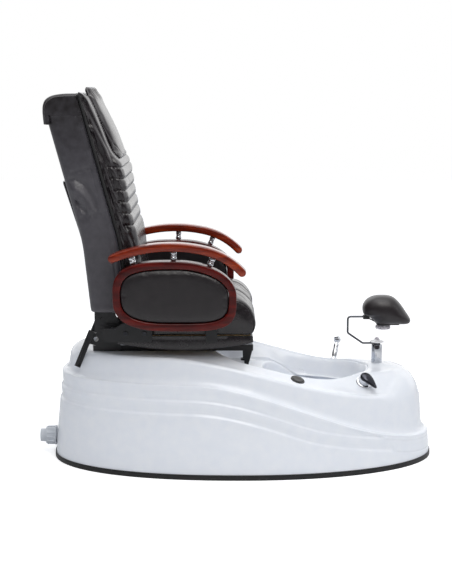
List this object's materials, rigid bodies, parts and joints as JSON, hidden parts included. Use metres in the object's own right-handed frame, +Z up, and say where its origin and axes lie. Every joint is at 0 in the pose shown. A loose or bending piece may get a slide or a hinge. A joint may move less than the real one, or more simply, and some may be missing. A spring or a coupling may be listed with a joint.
{
  "type": "pedicure spa chair",
  "caption": "Pedicure spa chair with a moulded foot spa basin, a sliding reclining massage seat, wooden arm rings and an adjustable foot pad.",
  "frame": {"origin": "centre of the bounding box on the floor, at the underside of the rubber edging", "axes": "+X forwards, from the backrest towards the footrest; +Y to the sitter's left; +Z up"},
  "size_m": [1.508, 0.77, 1.404],
  "materials": {
    "acrylic": "glossy white moulded acrylic",
    "edging": "black rubber",
    "ply": "raw plywood",
    "painted_steel": "black powder coat",
    "zinc": "zinc plated",
    "pump_plastic": "moulded plastic",
    "pvc": "pale grey PVC",
    "chrome": "polished chrome",
    "brass": "raw brass",
    "black_plastic": "glossy black plastic",
    "soft_rubber": "soft black rubber",
    "leather": "dark brown synthetic leather, satin",
    "mahogany": "red mahogany, gloss lacquer",
    "clear_knob": "pale translucent plastic",
    "white_plastic": "white plastic",
    "foam_roller": "firm rubber roller",
    "feet": "black rubber"
  },
  "bodies": {
    "base": {"base_shell": "acrylic", "foot_basin": "acrylic", "base_trim": "edging", "platform_board": "ply", "base_frame": "painted_steel", "levelling_feet": "feet", "jet_pump": "pump_plastic", "pump_pipe": "pvc", "jet_housing": "chrome", "drain_strainer": "chrome", "drain_pipe": "pvc", "drain_union": "pvc", "mixer_ring": "chrome", "mixer_valve": "brass", "button_bezel": "black_plastic", "button_bellows": "soft_rubber", "spray_holder": "chrome", "footrest_post": "chrome", "post_nut": "zinc", "chair_frame": "painted_steel", "rear_legs": "painted_steel", "front_legs": "painted_steel", "slide_rails": "zinc"},
    "mixer_turret": {"mixer_body": "chrome"},
    "mixer_handle": {"mixer_lever": "chrome"},
    "button": {"jet_button": "black_plastic"},
    "handset": {"spray_handset": "chrome"},
    "footrest_arm": {"footrest_collar": "white_plastic", "footrest_rod": "chrome"},
    "footrest_head": {"pad_plate": "painted_steel", "footrest_pad": "leather"},
    "clamp_knob": {"footrest_knob": "clear_knob"},
    "seat": {"slide_runners": "zinc", "seat_frame": "painted_steel", "seat_outriggers": "painted_steel", "seat_pan": "ply", "seat_cushion": "leather", "seat_skirts": "leather", "arm_plates": "painted_steel", "arm_bolts": "chrome", "arm_rings": "mahogany", "arm_panels": "leather", "arm_posts": "chrome", "arm_rails": "mahogany", "hinge_ears": "painted_steel", "hinge_pins": "zinc", "actuator_body": "pump_plastic"},
    "recline_rod": {"actuator_rod": "zinc"},
    "back": {"hinge_plates": "painted_steel", "back_frame": "painted_steel", "back_casing": "leather", "back_hood": "leather", "rear_cover": "leather", "back_cushion": "leather", "head_pillow": "leather", "guide_rods": "zinc", "screw_motor": "pump_plastic"},
    "massage_screw": {"lead_screw": "zinc"},
    "massage_carriage": {"massage_carriage": "pump_plastic"},
    "massage_rollers": {"massage_rollers": "foam_roller"}
  },
  "joints": [
    {"name": "seat_slide", "type": "slide", "parent": "base", "child": "seat", "axis": [1, 0, 0], "range_m": [0, 0.1]},
    {"name": "backrest_recline", "type": "hinge", "parent": "seat", "child": "back", "pos_m": [-0.449, 0, 0.527], "axis": [0, -1, 0], "range_deg": [0, 32]},
    {"name": "actuator_extend", "type": "slide", "parent": "seat", "child": "recline_rod", "axis": [1, 0, 0], "range_m": [0, 0.04]},
    {"name": "massage_travel", "type": "slide", "parent": "back", "child": "massage_carriage", "axis": [-0.2588, 0, 0.9659], "range_m": [0, 0.26]},
    {"name": "massage_screw_turn", "type": "hinge", "parent": "back", "child": "massage_screw", "pos_m": [-0.50942, 0, 0.848], "axis": [-0.2588, 0, 0.9659], "range_deg": [0, 4680]},
    {"name": "massage_roll", "type": "hinge", "parent": "massage_carriage", "child": "massage_rollers", "pos_m": [-0.47683, 0, 0.90022], "axis": [0, 1, 0], "continuous": true},
    {"name": "footrest_swivel", "type": "hinge", "parent": "base", "child": "footrest_arm", "pos_m": [0.544, 0, 0.424], "axis": [0, 0, 1], "range_deg": [-170, 170]},
    {"name": "footrest_tilt", "type": "hinge", "parent": "footrest_arm", "child": "footrest_head", "pos_m": [0.5, 0, 0.531], "axis": [1, 0, 0], "range_deg": [-20, 20]},
    {"name": "clamp_knob_turn", "type": "hinge", "parent": "footrest_head", "child": "clamp_knob", "pos_m": [0.566, 0, 0.49], "axis": [0, 0, 1], "range_deg": [0, 180]},
    {"name": "mixer_turn", "type": "hinge", "parent": "base", "child": "mixer_turret", "pos_m": [0.475, -0.178, 0.31435], "axis": [0.2213, -0.5719, 0.7899], "range_deg": [-45, 45]},
    {"name": "mixer_lift", "type": "hinge", "parent": "mixer_turret", "child": "mixer_handle", "pos_m": [0.47002, -0.18693, 0.34916], "axis": [-0.7144, -0.6464, -0.2679], "range_deg": [0, 18]},
    {"name": "jet_press", "type": "slide", "parent": "base", "child": "button", "axis": [-0.2759, 0.2859, -0.9177], "range_m": [0, 0.004], "stiffness_N_per_m": 400, "springref_m": -0.002},
    {"name": "handset_lift", "type": "slide", "parent": "base", "child": "handset", "axis": [0.2071, 0.4545, 0.8663], "range_m": [0, 0.15]}
  ],
  "couplings": [
    {"joint": "actuator_extend", "follows": "backrest_recline", "m_per_rad": 0.071441},
    {"joint": "massage_screw_turn", "follows": "massage_travel", "rad_per_m": 314.16}
  ]
}
